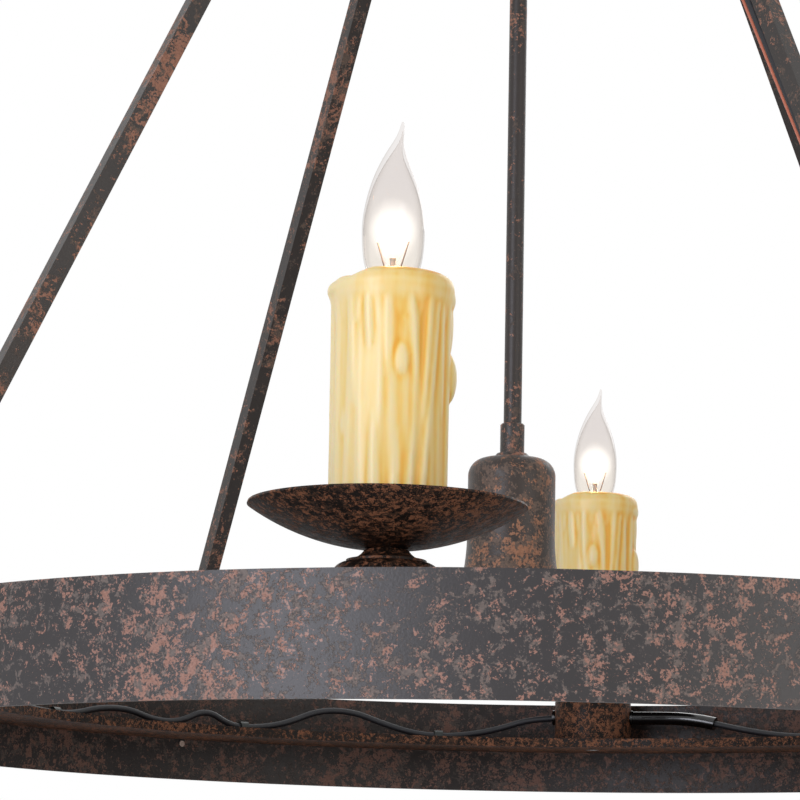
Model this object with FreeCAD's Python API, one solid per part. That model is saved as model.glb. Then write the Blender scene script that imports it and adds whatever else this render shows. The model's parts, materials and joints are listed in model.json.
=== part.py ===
"""Ring chandelier with candle lamps and a centre downlight, hung on a link from a ceiling canopy.

Millimetres, +Z up. The origin is the middle of the ceiling strap's upper face. The ceiling pieces
are drawn at their own height. Every piece below the link is drawn at its height above the
band's lower edge and then lowered by overall_drop. Azimuth 0 is the -Y side, and azimuth
grows anticlockwise seen from above, so the candles stand at 0, 90, 180 and 270 degrees and the
struts at 45, 135, 225 and 315 degrees.
"""
import FreeCAD, Part
import math
import os

Vector = FreeCAD.Vector
UP = Vector(0, 0, 1)
FULL_TURN = 360.0

# ---------------------------------------------------------------- driving dimensions, mm
# clearances
seat_gap = 0.2            # where a curved face sits against another
thread_gap = 0.15         # radial room left for a thread
hang_gap = 0.15           # between two wires that hang in each other

# band and ledge
band_outer_d = 812.8
band_height = 63.5
band_thickness = 3.2
ledge_width = 63.5
ledge_thickness = 6.35
candle_count = 4

# struts
strut_size = 10.5
strut_slope = 0.4888      # radius lost for each millimetre climbed
strut_foot_bottom = 8.0   # above the band's lower edge
strut_foot_length = 57.8
strut_tab_length = 42.0
strut_bend_radius = 14.0
strut_screw_height = 25.4

# screws
screw_r = 2.15
screw_head_r = 4.5
screw_head_height = 2.8
screw_slot = 1.0
screw_point = 0.8         # how far a screw shows past the band's inner face

# hub
hub_r = 25.0
hub_flat_distance = 22.0
hub_height = 56.0
hub_below_bend = 6.0      # how far the hub reaches below the struts' upper bend
hub_chamfer = 3.0
hub_cavity_r = 17.5
hub_floor = 10.0
hub_roof = 14.0

# candle stations
cup_r = 27.5
cup_wall = 1.5
cup_height = 35.0
cup_shoulder = 8.0
cup_hole_height = 17.0    # above the ledge
cap_r = 20.0
cap_neck_r = 11.0
cap_height = 6.3
pan_r = 69.85
pan_depth = 21.5
pan_thickness = 1.2
nipple_r = 4.8
nipple_wall = 1.6
nipple_above_pan = 20.0
nut_across_flats = 14.0
nut_height = 5.0
bushing_flange_r = 5.4
bushing_flange = 1.6
bushing_body_r = 4.0

# candle covers
cover_foot_r = 29.5
cover_waist_r = 30.6
cover_lip_r = 32.4
cover_lip_drop = 22.0
cover_top = 211.0         # above the band's lower edge
cover_wall = 3.5
cover_hole_r = 18.0
cover_web = 4.0

# candle sockets and lamps
socket_r = 11.5
socket_height = 38.0
socket_below_cover = 5.0
socket_post_r = 6.6
socket_foot_r = 9.0
socket_foot_height = 6.0
lamp_thread_r = 6.0
lamp_base_length = 18.0
lamp_contact_gap = 0.5
lamp_glass_r = 15.85
lamp_glass_height = 87.0
lamp_tip_shift = 3.7
lamp_turn_azimuths = (0.0, 40.0, 180.0, 150.0)   # how far each lamp is screwed round
lamp_glass_wall = 0.7
support_wire_r = 0.35
glass_stem_r = 1.4
glass_stem_flare_r = 4.0
glass_stem_flare = 4.0        # height of the flare at the glass stem's foot
glass_stem_neck = 13.0        # from the foot to the knob that grips the wires
glass_stem_length = 15.5
support_wire_foot = (0.9, 3.5)    # out from the axis, and above the glass stem's foot
support_wire_knee = (3.9, 9.0)
filament_rise = 24.0      # from the glass stem's foot to the filament's ends
filament_arch = 6.0
filament_half = 8.3

# centre stem and downlight
stem_r = 5.55
stem_wall = 1.2
coupling_r = 7.5
coupling_height = 18.6
stem_washer_r = 11.0
stem_washer_thickness = 3.0
bell_top = 182.4          # above the band's lower edge
bell_height = 87.4
bell_r = 27.0
bell_mouth_r = 33.0
bell_shoulder = 11.0
bell_straight = 47.4      # from the top to where the flare starts
bell_wall = 1.3
holder_r = 12.0
holder_height = 20.0
spot_lamp_r = 25.0
spot_lamp_recess = 7.0    # lens above the bell's mouth
spot_lamp_length = 46.0
spot_neck_r = 9.0
spot_lamp_rim = 3.5
spot_lamp_wall = 1.5
spot_pin_r = 2.4
spot_pin_length = 7.0
spot_pin_spacing = 10.0
lens_r = 23.0
lens_thickness = 2.0

# suspension
loop_wire_r = 3.5
loop_ring_r = 14.0
spigot_r = 6.5
link_wire_r = 3.0
link_bend_r = 9.5
link_straight = 26.0

# ceiling pieces
canopy_r = 63.5
canopy_depth = 25.0
canopy_thickness = 1.2
strap_length = 108.0
strap_width = 19.0
strap_thickness = 2.5
slot_spacing = 79.4
slot_length = 16.0
slot_width = 4.6
strap_nipple_length = 22.0
loop_neck_r = 12.5
loop_neck_length = 22.0
loop_neck_overlap = 8.0
collar_r = 19.0
collar_height = 8.0

# cords
cord_r = 2.2
ground_wire_r = 1.1
sleeve_r = 4.7
clip_width = 6.0
clip_wall = 1.2
clip_foot = 4.0
tie_width = 3.6
tie_thickness = 1.2
tie_head = 4.4

# ---------------------------------------------------------------- places worked out from them
band_r = band_outer_d / 2
band_inner_r = band_r - band_thickness
ledge_outer_r = band_inner_r - seat_gap
ledge_inner_r = ledge_outer_r - ledge_width
ledge_top = (band_height + ledge_thickness) / 2
ledge_bottom = ledge_top - ledge_thickness
candle_circle_r = (ledge_inner_r + ledge_outer_r) / 2
step_angle = FULL_TURN / candle_count

strut_foot_r = band_r + seat_gap + strut_size / 2
strut_tab_r = hub_flat_distance + seat_gap + strut_size / 2
strut_low_bend = strut_foot_bottom + strut_foot_length
strut_high_bend = strut_low_bend + (strut_foot_r - strut_tab_r) / strut_slope
strut_top = strut_high_bend + strut_tab_length
strut_tilt = math.atan(strut_slope)

hub_bottom = strut_high_bend - hub_below_bend
hub_top = hub_bottom + hub_height
hub_screw_height = strut_high_bend + strut_tab_length / 2

cup_top = ledge_top + cup_height
cup_hole_z = ledge_top + cup_hole_height
pan_bottom = cup_top + cap_height + seat_gap
pan_sphere_r = (pan_r ** 2 + pan_depth ** 2) / (2 * pan_depth)


def pan_floor(radius):
    """Height of the drip pan's upper face at a radius."""
    inner_r = pan_sphere_r - pan_thickness
    return pan_bottom + pan_sphere_r - math.sqrt(inner_r ** 2 - radius ** 2)


cover_bottom = pan_floor(cover_foot_r) + seat_gap
socket_top = cover_top - socket_below_cover
socket_foot = pan_floor(socket_foot_r) + seat_gap
lamp_base_top = socket_top + 2.0
lamp_base_bottom = lamp_base_top - lamp_base_length
lamp_glass_bottom = lamp_base_top + 0.2

washer_bottom = bell_top + seat_gap
coupling_bottom = washer_bottom + stem_washer_thickness + seat_gap
stem_bottom = coupling_bottom + 6.0
stem_top = hub_bottom + hub_floor + 4.0
bell_bottom = bell_top - bell_height
lens_bottom = bell_bottom + spot_lamp_recess
holder_bottom = lens_bottom + spot_lamp_length + 2.0
holder_top = holder_bottom + holder_height
coupling_spigot_bottom = holder_top - 8.0

loop_neck_top = -(strap_nipple_length - loop_neck_overlap)
loop_neck_bottom = loop_neck_top - loop_neck_length
ceiling_ring_z = loop_neck_bottom - loop_ring_r + loop_wire_r / 2
upper_hang_z = ceiling_ring_z - loop_ring_r
link_top_z = upper_hang_z + loop_wire_r + link_wire_r + hang_gap
link_upper_centre = link_top_z - link_bend_r
link_lower_centre = link_upper_centre - link_straight
lower_hang_z = link_lower_centre - link_bend_r
hub_ring_z = lower_hang_z + link_wire_r + loop_wire_r + hang_gap - loop_ring_r
hub_seat_z = hub_ring_z - loop_ring_r - loop_wire_r - 4.0
overall_drop = hub_top - hub_seat_z


# ---------------------------------------------------------------- helpers
def cylinder(radius, bottom, top):
    return Part.makeCylinder(radius, top - bottom, Vector(0, 0, bottom))


def tube(outer_r, inner_r, bottom, top):
    return cylinder(outer_r, bottom, top).cut(cylinder(inner_r, bottom - 1, top + 1))


def section(start, *steps):
    """Face in the XZ plane. A step is a corner (radius, height) or (middle, end) of an arc."""
    first = Vector(start[0], 0, start[1])
    here = first
    edges = []
    for step in steps:
        if isinstance(step[0], tuple):
            middle, end = [Vector(point[0], 0, point[1]) for point in step]
            edges.append(Part.Arc(here, middle, end).toShape())
        else:
            end = Vector(step[0], 0, step[1])
            edges.append(Part.LineSegment(here, end).toShape())
        here = end
    edges.append(Part.LineSegment(here, first).toShape())
    return Part.Face(Part.Wire(edges))


def turned(start, *steps):
    """Solid turned about the Z axis from a section."""
    solid = section(start, *steps).revolve(Vector(0, 0, 0), UP, FULL_TURN)
    if solid.Volume < 0:
        solid.reverse()
    return solid


def hexagon(across_flats, bottom, top, bore_r):
    """Hexagon nut about the Z axis."""
    corner_r = across_flats / 2 / math.cos(math.pi / 6)
    corners = []
    for index in range(7):
        angle = index * math.pi / 3
        corners.append(Vector(corner_r * math.cos(angle), corner_r * math.sin(angle), bottom))
    nut = Part.Face(Part.makePolygon(corners)).extrude(Vector(0, 0, top - bottom))
    return nut.cut(cylinder(bore_r, bottom - 1, top + 1))


def turn_to(shape, azimuth):
    """Copy of a shape turned about the fixture's axis."""
    copy = shape.copy()
    copy.rotate(Vector(0, 0, 0), UP, azimuth)
    return copy


def to_station(shape, azimuth):
    """Copy of a shape drawn on the Z axis, moved to a candle's place on the ledge."""
    copy = shape.copy()
    copy.translate(Vector(0, -candle_circle_r, 0))
    return turn_to(copy, azimuth)


def polar(azimuth, radius, height):
    angle = math.radians(azimuth)
    return Vector(radius * math.sin(angle), -radius * math.cos(angle), height)


def group(solids):
    return Part.makeCompound(solids)


def route_edges(points, radius=None):
    """Straight runs joined by tangent arcs. With no radius, each arc is as large as its runs allow."""
    edges = []
    start = points[0]
    smallest = None
    for before, corner, after in zip(points, points[1:], points[2:]):
        to_before = before - corner
        to_after = after - corner
        turn = math.pi - to_before.getAngle(to_after)
        shorter = min(to_before.Length, to_after.Length)
        arc_r = radius if radius else 0.45 * shorter / math.tan(turn / 2)
        reach = arc_r * math.tan(turn / 2)
        first = corner + to_before.normalize() * reach
        last = corner + to_after.normalize() * reach
        bisector = (to_before + to_after).normalize()
        middle = corner + bisector * (arc_r / math.cos(turn / 2) - arc_r)
        edges.append(Part.LineSegment(start, first).toShape())
        edges.append(Part.Arc(first, middle, last).toShape())
        start = last
        smallest = arc_r if smallest is None else min(smallest, arc_r)
    edges.append(Part.LineSegment(start, points[-1]).toShape())
    return edges, smallest


def swept_round(edges, radius):
    """Round rod along connected edges."""
    path = Part.Wire(edges)
    start = edges[0].valueAt(edges[0].FirstParameter)
    heading = edges[0].tangentAt(edges[0].FirstParameter)
    profile = Part.Wire([Part.Circle(start, heading, radius).toShape()])
    return path.makePipeShell([profile], True, False)


def cord(name, points, radius):
    """Cord along a route. Prints its least bend, its length and how its volume compares."""
    edges, smallest = route_edges(points)
    solid = swept_round(edges, radius)
    length = sum(edge.Length for edge in edges)
    share = solid.Volume / (math.pi * radius ** 2 * length)
    print(f"{name}: least bend {smallest:.1f} mm, length {length:.0f} mm, volume share {share:.4f}")
    return solid, edges


# ---------------------------------------------------------------- ring
def outer_band():
    band = tube(band_r, band_inner_r, 0, band_height)
    for azimuth in strut_azimuths():
        reach = 2 * band_thickness
        hole = Part.makeCylinder(screw_r + thread_gap, reach, Vector(0, -band_r - 1, strut_screw_height),
                                 Vector(0, 1, 0))
        band = band.cut(turn_to(hole, azimuth))
    return band


def ledge_ring():
    ledge = tube(ledge_outer_r, ledge_inner_r, ledge_bottom, ledge_top)
    hole = cylinder(nipple_r + thread_gap, ledge_bottom - 1, ledge_top + 1)
    for azimuth in candle_azimuths():
        ledge = ledge.cut(to_station(hole, azimuth))
    bond = Part.makeCylinder(ground_wire_r + seat_gap, ledge_thickness + 2,
                             polar(ground_end_azimuth, ground_end_r, ledge_bottom - 1))
    return ledge.cut(bond)


def candle_azimuths():
    return [index * step_angle for index in range(candle_count)]


def strut_azimuths():
    return [azimuth + step_angle / 2 for azimuth in candle_azimuths()]


# ---------------------------------------------------------------- struts and hub
def strut():
    """Square bar: a foot on the band, a slanted run and a tab on the hub."""
    points = [Vector(0, -strut_foot_r, strut_foot_bottom),
              Vector(0, -strut_foot_r, strut_low_bend),
              Vector(0, -strut_tab_r, strut_high_bend),
              Vector(0, -strut_tab_r, strut_top)]
    edges, _ = route_edges(points, strut_bend_radius)
    half = strut_size / 2
    corners = []
    for x, y in ((-half, -half), (half, -half), (half, half), (-half, half), (-half, -half)):
        corners.append(Vector(x, y - strut_foot_r, strut_foot_bottom))
    bar = Part.Wire(edges).makePipeShell([Part.makePolygon(corners)], True, False)
    for outer_face, height in strut_screw_places():
        hole = Part.makeCylinder(screw_r + thread_gap, 2 * strut_size,
                                 Vector(0, -outer_face - strut_size / 2, height), Vector(0, 1, 0))
        bar = bar.cut(hole)
    return bar


def strut_screw_places():
    """Radius of the bar's outer face and height, for the band's screw and the hub's screw."""
    return [(strut_foot_r + strut_size / 2, strut_screw_height),
            (strut_tab_r + strut_size / 2, hub_screw_height)]


def strut_screws():
    """Eight alike pan-head screws: one through each foot and one through each tab."""
    length = strut_size + seat_gap + band_thickness + screw_point
    head_edge = screw_head_height * 0.4
    crown_r = screw_head_r * 0.5
    screw = turned((0, -length), (screw_r, -length), (screw_r, seat_gap), (screw_head_r, seat_gap),
                   (screw_head_r, head_edge), ((screw_head_r * 0.85, screw_head_height * 0.8),
                                               (crown_r, screw_head_height)), (0, screw_head_height))
    slot = Part.makeBox(screw_slot, 4 * screw_head_r, 2 * screw_slot,
                        Vector(-screw_slot / 2, -2 * screw_head_r, screw_head_height - screw_slot))
    screw = screw.cut(slot)
    screw.rotate(Vector(0, 0, 0), Vector(1, 0, 0), 90)
    solids = []
    for azimuth in strut_azimuths():
        for outer_face, height in strut_screw_places():
            placed = screw.copy()
            placed.translate(Vector(0, -outer_face, height))
            solids.append(turn_to(placed, azimuth))
    return group(solids)


def hub_body():
    """Turned hub with a flat for each strut and a wiring hollow inside."""
    rim_r = hub_r - hub_chamfer
    body = turned((0, hub_bottom), (rim_r, hub_bottom), (hub_r, hub_bottom + hub_chamfer),
                  (hub_r, hub_top - hub_chamfer), (rim_r, hub_top), (0, hub_top))
    cavity = cylinder(hub_cavity_r, hub_bottom + hub_floor, hub_top - hub_roof)
    body = body.cut(cavity)
    body = body.cut(cylinder(stem_r + thread_gap, hub_bottom - 1, hub_bottom + hub_floor + 1))
    body = body.cut(cylinder(spigot_r + thread_gap, hub_top - hub_roof - 1, hub_top + 1))
    for azimuth in strut_azimuths():
        outside = Part.makeBox(2 * hub_r, hub_r, hub_height + 2,
                               Vector(-hub_r, -hub_flat_distance - hub_r, hub_bottom - 1))
        tapped = Part.makeCylinder(screw_r + thread_gap, hub_r - hub_cavity_r / 2,
                                   Vector(0, -hub_r, hub_screw_height), Vector(0, 1, 0))
        body = body.cut(turn_to(outside, azimuth)).cut(turn_to(tapped, azimuth))
    for exit_r, wire_r in ((cord_exit_r, cord_r), (ground_exit_r, ground_wire_r)):
        hole = Part.makeCylinder(wire_r + 2 * seat_gap, hub_floor + 2,
                                 polar(cord_strut_azimuth, exit_r, hub_bottom - 1))
        body = body.cut(hole)
    return body


def hub_loop():
    """Ring with a collar and a threaded spigot, screwed into the hub's top."""
    ring_height = hub_ring_z + overall_drop
    ring = loop_ring(ring_height)
    foot = turned((0, hub_top - hub_roof + 2), (spigot_r, hub_top - hub_roof + 2), (spigot_r, hub_top),
                  (loop_neck_r, hub_top), (loop_neck_r, hub_top + 3),
                  (loop_wire_r + 3, ring_height - loop_ring_r), (0, ring_height - loop_ring_r))
    return ring.fuse(foot).removeSplitter()


def loop_ring(height):
    """Ring in the XZ plane."""
    return Part.makeTorus(loop_ring_r, loop_wire_r, Vector(0, 0, height), Vector(0, 1, 0))


# ---------------------------------------------------------------- candle stations
def candle_cup(sides):
    """Wiring cup that stands on the ledge, open below. sides are where a cord goes through."""
    foot = ledge_top
    inner_r = cup_r - cup_wall
    bend = cup_shoulder
    inner_bend = bend - cup_wall
    diagonal = math.sqrt(0.5)
    outer_mid = (cup_r - bend + bend * diagonal, cup_top - bend + bend * diagonal)
    inner_mid = (cup_r - bend + inner_bend * diagonal, cup_top - bend + inner_bend * diagonal)
    hole_r = nipple_r + seat_gap
    cup = turned((inner_r, foot), (cup_r, foot), (cup_r, cup_top - bend),
                 (outer_mid, (cup_r - bend, cup_top)), (hole_r, cup_top), (hole_r, cup_top - cup_wall),
                 (cup_r - bend, cup_top - cup_wall), (inner_mid, (inner_r, cup_top - bend)))
    for side in sides:
        hole = Part.makeCylinder(bushing_body_r + seat_gap, 2 * cup_wall + 4,
                                 Vector(side * (inner_r - cup_wall), 0, cup_hole_z), Vector(side, 0, 0))
        cup = cup.cut(hole)
    return cup


def cord_sides(index):
    """A cord reaches each cup on its low-azimuth side, and leaves all but the last one."""
    if index == 0:
        return [-1]
    return [-1, 1]


def cup_bushing(side):
    """Flanged grommet in a cup's side hole."""
    flange_inner = cup_r + seat_gap
    start = cup_r - cup_wall - 1.2
    flange = Part.makeCylinder(bushing_flange_r, bushing_flange, Vector(0, 0, flange_inner))
    body = Part.makeCylinder(bushing_body_r, flange_inner - start + 0.5, Vector(0, 0, start))
    bore = Part.makeCylinder(cord_r + seat_gap, 3 * bushing_flange + 2 * cup_wall, Vector(0, 0, start - 1))
    bushing = flange.fuse(body).cut(bore)
    bushing.rotate(Vector(0, 0, 0), Vector(0, 1, 0), 90 * side)
    bushing.translate(Vector(0, 0, cup_hole_z))
    return bushing


def cup_cap():
    """Turned cap between the cup and the drip pan."""
    low = cup_top
    rim = 1.2
    return turned((nipple_r + seat_gap, low), (cap_r, low), (cap_r, low + rim),
                  ((cap_neck_r + 2.5, low + cap_height * 0.55), (cap_neck_r, low + cap_height)),
                  (nipple_r + seat_gap, low + cap_height))


def drip_pan():
    """Shallow spun dish, a part of a sphere."""
    hole_r = nipple_r + seat_gap
    inner_r = pan_sphere_r - pan_thickness
    centre = pan_bottom + pan_sphere_r

    def outside(radius):
        return (radius, centre - math.sqrt(pan_sphere_r ** 2 - radius ** 2))

    def inside(radius):
        return (radius, centre - math.sqrt(inner_r ** 2 - radius ** 2))

    rim_r = pan_r - 0.4
    return turned(outside(hole_r), (outside(pan_r / 2), outside(pan_r)),
                  inside(rim_r), (inside(pan_r / 2), inside(hole_r)))


def candle_nipple():
    """Threaded tube through the tapped ledge, level with its lower face, up into the socket."""
    return tube(nipple_r, nipple_r - nipple_wall, ledge_bottom, pan_bottom + nipple_above_pan)


def nipple_nut():
    """Lock nut on the ledge, inside the cup."""
    foot = ledge_top + seat_gap
    return hexagon(nut_across_flats, foot, foot + nut_height, nipple_r + thread_gap)


def candle_cover():
    """Cover like a thick candle: a waist, a lip at the top and a hole for the lamp."""
    bore_r = cover_foot_r - cover_wall
    web_bottom = cover_top - cover_web
    lip_z = cover_top - cover_lip_drop / 2
    return turned((bore_r, cover_bottom), (cover_foot_r, cover_bottom),
                  (cover_waist_r, cover_top - cover_lip_drop),
                  ((cover_lip_r, lip_z), (cover_foot_r, cover_top)), (cover_hole_r, cover_top),
                  (cover_hole_r, web_bottom), (bore_r, web_bottom - 3))


def candle_socket():
    """Lamp socket on a post that screws onto the nipple."""
    socket_bottom = socket_top - socket_height
    bore_r = lamp_thread_r + 0.5
    bore_bottom = lamp_base_bottom - lamp_contact_gap
    post_bore_r = nipple_r + thread_gap
    post_bore_top = pan_bottom + nipple_above_pan + 2
    body = turned((post_bore_r, socket_foot), (socket_foot_r, socket_foot),
                  (socket_foot_r, socket_foot + socket_foot_height),
                  (socket_post_r, socket_foot + socket_foot_height), (socket_post_r, socket_bottom - 4),
                  (socket_r, socket_bottom), (socket_r, socket_top - 1), (socket_r - 1, socket_top),
                  (bore_r, socket_top), (bore_r, bore_bottom), (0, bore_bottom),
                  (0, post_bore_top), (post_bore_r, post_bore_top))
    return body


# ---------------------------------------------------------------- candle lamps
def lamp_base():
    """Screw shell with its rolled thread and end contact."""
    ridges = 5
    shell_low = lamp_base_bottom + 3.4
    shell_high = lamp_base_top - 3.6
    pitch = (shell_high - shell_low) / ridges
    steps = [(2.4, lamp_base_bottom), (2.4, lamp_base_bottom + 1.2), (4.4, lamp_base_bottom + 2.0),
             (lamp_thread_r - 0.5, shell_low)]
    for index in range(ridges):
        low = shell_low + index * pitch
        steps.append(((lamp_thread_r, low + pitch / 2), (lamp_thread_r - 0.5, low + pitch)))
    steps += [(lamp_thread_r - 0.5, lamp_base_top - 2.4), (lamp_thread_r + 0.2, lamp_base_top - 1.6),
              (lamp_thread_r + 0.2, lamp_base_top), (0, lamp_base_top)]
    return turned((0, lamp_base_bottom), *steps)


# share of the glass's height, share of its largest radius, share of the tip's shift
flame_outline = ((0.0, 0.41, 0.0), (0.03, 0.58, 0.0), (0.07, 0.74, 0.0), (0.12, 0.86, 0.0),
                 (0.20, 0.955, 0.0), (0.29, 0.995, 0.0), (0.38, 1.0, 0.0), (0.48, 0.94, 0.0),
                 (0.58, 0.82, 0.0), (0.68, 0.64, 0.0), (0.77, 0.43, 0.05), (0.85, 0.235, 0.28),
                 (0.92, 0.115, 0.72), (0.97, 0.07, 0.96), (1.0, 0.03, 1.0))


def flame_shape(shrink, bottom, height):
    """Bent-tip flame lofted through circles that shift sideways near the tip."""
    wires = []
    for rise, width, shift in flame_outline:
        radius = max(lamp_glass_r * width - shrink, 0.25)
        centre = Vector(lamp_tip_shift * shift, 0, bottom + height * rise)
        wires.append(Part.Wire([Part.Circle(centre, UP, radius).toShape()]))
    return Part.makeLoft(wires, True, False)


def lamp_glass():
    outside = flame_shape(0, lamp_glass_bottom, lamp_glass_height)
    inside = flame_shape(lamp_glass_wall, lamp_glass_bottom + 1.2, lamp_glass_height - 6)
    return outside.cut(inside)


def lamp_filament():
    """Glass stem with two support wires and the filament that arches between them."""
    foot = lamp_glass_bottom + 1.5
    stem = turned((0, foot), (glass_stem_flare_r, foot), (glass_stem_flare_r, foot + 0.8),
                  (glass_stem_r, foot + glass_stem_flare), (glass_stem_r, foot + glass_stem_neck),
                  (glass_stem_r * 1.3, foot + glass_stem_length - 1), (0, foot + glass_stem_length))
    ends = (filament_half, foot + filament_rise)
    mount = stem
    for side in (-1, 1):
        wire_route = [Vector(side * support_wire_foot[0], 0, foot + support_wire_foot[1]),
                      Vector(side * support_wire_knee[0], 0, foot + support_wire_knee[1]),
                      Vector(side * ends[0], 0, ends[1])]
        edges, _ = route_edges(wire_route)
        mount = mount.fuse(swept_round(edges, support_wire_r))
    arch_top = ends[1] + filament_arch
    arch = [Vector(-ends[0], 0, ends[1] - 0.3), Vector(-ends[0] * 0.75, 0, arch_top),
            Vector(ends[0] * 0.75, 0, arch_top), Vector(ends[0], 0, ends[1] - 0.3)]
    edges, _ = route_edges(arch)
    return mount.fuse(swept_round(edges, support_wire_r * 1.2))


# ---------------------------------------------------------------- centre stem and downlight
def stem_tube():
    return tube(stem_r, stem_r - stem_wall, stem_bottom, stem_top)


def stem_coupling():
    """Coupling under the stem, with a threaded spigot that holds the bell and the lamp holder."""
    bore_r = stem_r - stem_wall
    seat_r = stem_r + thread_gap
    top = coupling_bottom + coupling_height
    return turned((2.6, coupling_spigot_bottom), (nipple_r, coupling_spigot_bottom),
                  (nipple_r, coupling_bottom), (coupling_r, coupling_bottom), (coupling_r, top - 0.8),
                  (coupling_r - 0.8, top), (seat_r, top), (seat_r, stem_bottom - seat_gap),
                  (bore_r, stem_bottom - seat_gap), (2.6, coupling_bottom))


def stem_washer():
    top = washer_bottom + stem_washer_thickness
    return turned((nipple_r + seat_gap, washer_bottom), (stem_washer_r, washer_bottom),
                  (stem_washer_r, washer_bottom + 1.2), (stem_washer_r - 1.6, top),
                  (nipple_r + seat_gap, top))


def bell_shade():
    """Spun bell: rounded shoulder, straight body and a flare to the mouth."""
    flare_top = bell_top - bell_straight
    flare_height = flare_top - bell_bottom
    spread = bell_mouth_r - bell_r
    flare_r = (spread ** 2 + flare_height ** 2) / (2 * spread)
    centre_r = bell_r + flare_r
    bend = bell_shoulder
    diagonal = math.sqrt(0.5)

    def flare(height, wall):
        radius = flare_r + wall
        return (centre_r - math.sqrt(radius ** 2 - (flare_top - height) ** 2), height)

    def shoulder(wall):
        reach = (bend - wall) * diagonal
        return (bell_r - bend + reach, bell_top - bend + reach)

    mid = (flare_top + bell_bottom) / 2
    hole_r = nipple_r + seat_gap
    return turned((hole_r, bell_top), (bell_r - bend, bell_top),
                  (shoulder(0), (bell_r, bell_top - bend)), (bell_r, flare_top),
                  (flare(mid, 0), flare(bell_bottom, 0)), flare(bell_bottom, bell_wall),
                  (flare(mid, bell_wall), (bell_r - bell_wall, flare_top)),
                  (bell_r - bell_wall, bell_top - bend),
                  (shoulder(bell_wall), (bell_r - bend, bell_top - bell_wall)),
                  (hole_r, bell_top - bell_wall))


def downlight_holder():
    holder = tube(holder_r, nipple_r + thread_gap, holder_bottom, holder_top)
    plug = cylinder(nipple_r + 1, holder_bottom, coupling_spigot_bottom - 1)
    holder = holder.fuse(plug)
    for side in (-1, 1):
        hole = Part.makeCylinder(spot_pin_r + 0.3, spot_pin_length + 1.5,
                                 Vector(side * spot_pin_spacing / 2, 0, holder_bottom - 0.5))
        holder = holder.cut(hole)
    return holder


def downlight_lamp():
    """Reflector lamp: a flared body, a rim round the lens and two pins."""
    low = lens_bottom
    top = low + spot_lamp_length
    wall = spot_lamp_wall
    rim_top = low + spot_lamp_rim
    middle = (0.76 * spot_lamp_r, low + 0.435 * spot_lamp_length)
    inner_middle = (0.66 * spot_lamp_r, low + 0.424 * spot_lamp_length)
    neck = (spot_neck_r + wall, low + 0.74 * spot_lamp_length)
    body = turned((spot_lamp_r - wall, low), (spot_lamp_r, low), (spot_lamp_r, rim_top),
                  (middle, neck), (spot_neck_r, top), (0, top), (0, low + 0.783 * spot_lamp_length),
                  (spot_neck_r - 4, low + 0.717 * spot_lamp_length),
                  (inner_middle, (spot_lamp_r - wall, rim_top)))
    for side in (-1, 1):
        pin = Part.makeCylinder(spot_pin_r, spot_pin_length + 2,
                                Vector(side * spot_pin_spacing / 2, 0, top - 1))
        body = body.fuse(pin)
    return body


def downlight_lens():
    return cylinder(lens_r, lens_bottom + 0.3, lens_bottom + 0.3 + lens_thickness)


# ---------------------------------------------------------------- suspension and ceiling pieces
def chain_link():
    """Closed oval link in the YZ plane."""
    upper = Vector(0, 0, link_upper_centre)
    lower = Vector(0, 0, link_lower_centre)
    side = Vector(0, link_bend_r, 0)
    drop = Vector(0, 0, link_bend_r)
    edges = [Part.LineSegment(lower + side, upper + side).toShape(),
             Part.Arc(upper + side, upper + drop, upper - side).toShape(),
             Part.LineSegment(upper - side, lower - side).toShape(),
             Part.Arc(lower - side, lower - drop, lower + side).toShape()]
    return swept_round(edges, link_wire_r)


def canopy_loop():
    """Threaded neck with a ring below it. The canopy and its collar sit on the neck."""
    neck = tube(loop_neck_r, nipple_r + thread_gap, loop_neck_bottom + 6, loop_neck_top)
    foot = turned((0, loop_neck_bottom), (loop_wire_r + 4, loop_neck_bottom),
                  (loop_neck_r, loop_neck_bottom + 4), (loop_neck_r, loop_neck_bottom + 6),
                  (0, loop_neck_bottom + 6))
    return neck.fuse(foot).fuse(loop_ring(ceiling_ring_z)).removeSplitter()


def canopy():
    """Shallow spun canopy whose rim meets the ceiling."""
    hole_r = loop_neck_r + seat_gap
    bend = 14.0
    inner_bend = bend - canopy_thickness
    diagonal = math.sqrt(0.5)
    floor = -canopy_depth
    outer_mid = (canopy_r - bend + bend * diagonal, floor + bend - bend * diagonal)
    inner_mid = (canopy_r - bend + inner_bend * diagonal, floor + bend - inner_bend * diagonal)
    return turned((hole_r, floor), (canopy_r - bend, floor), (outer_mid, (canopy_r, floor + bend)),
                  (canopy_r, 0), (canopy_r - canopy_thickness, 0),
                  (canopy_r - canopy_thickness, floor + bend),
                  (inner_mid, (canopy_r - bend, floor + canopy_thickness)),
                  (hole_r, floor + canopy_thickness))


def collar_ring():
    """Round nut that presses the canopy to the ceiling."""
    top = -canopy_depth - seat_gap
    ring = tube(collar_r, loop_neck_r + thread_gap, top - collar_height, top)
    edge = [item for item in ring.Edges if abs(item.BoundBox.ZMin - (top - collar_height)) < 0.01
            and item.BoundBox.XMax > collar_r - 0.1]
    return ring.makeFillet(2.5, edge)


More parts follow.
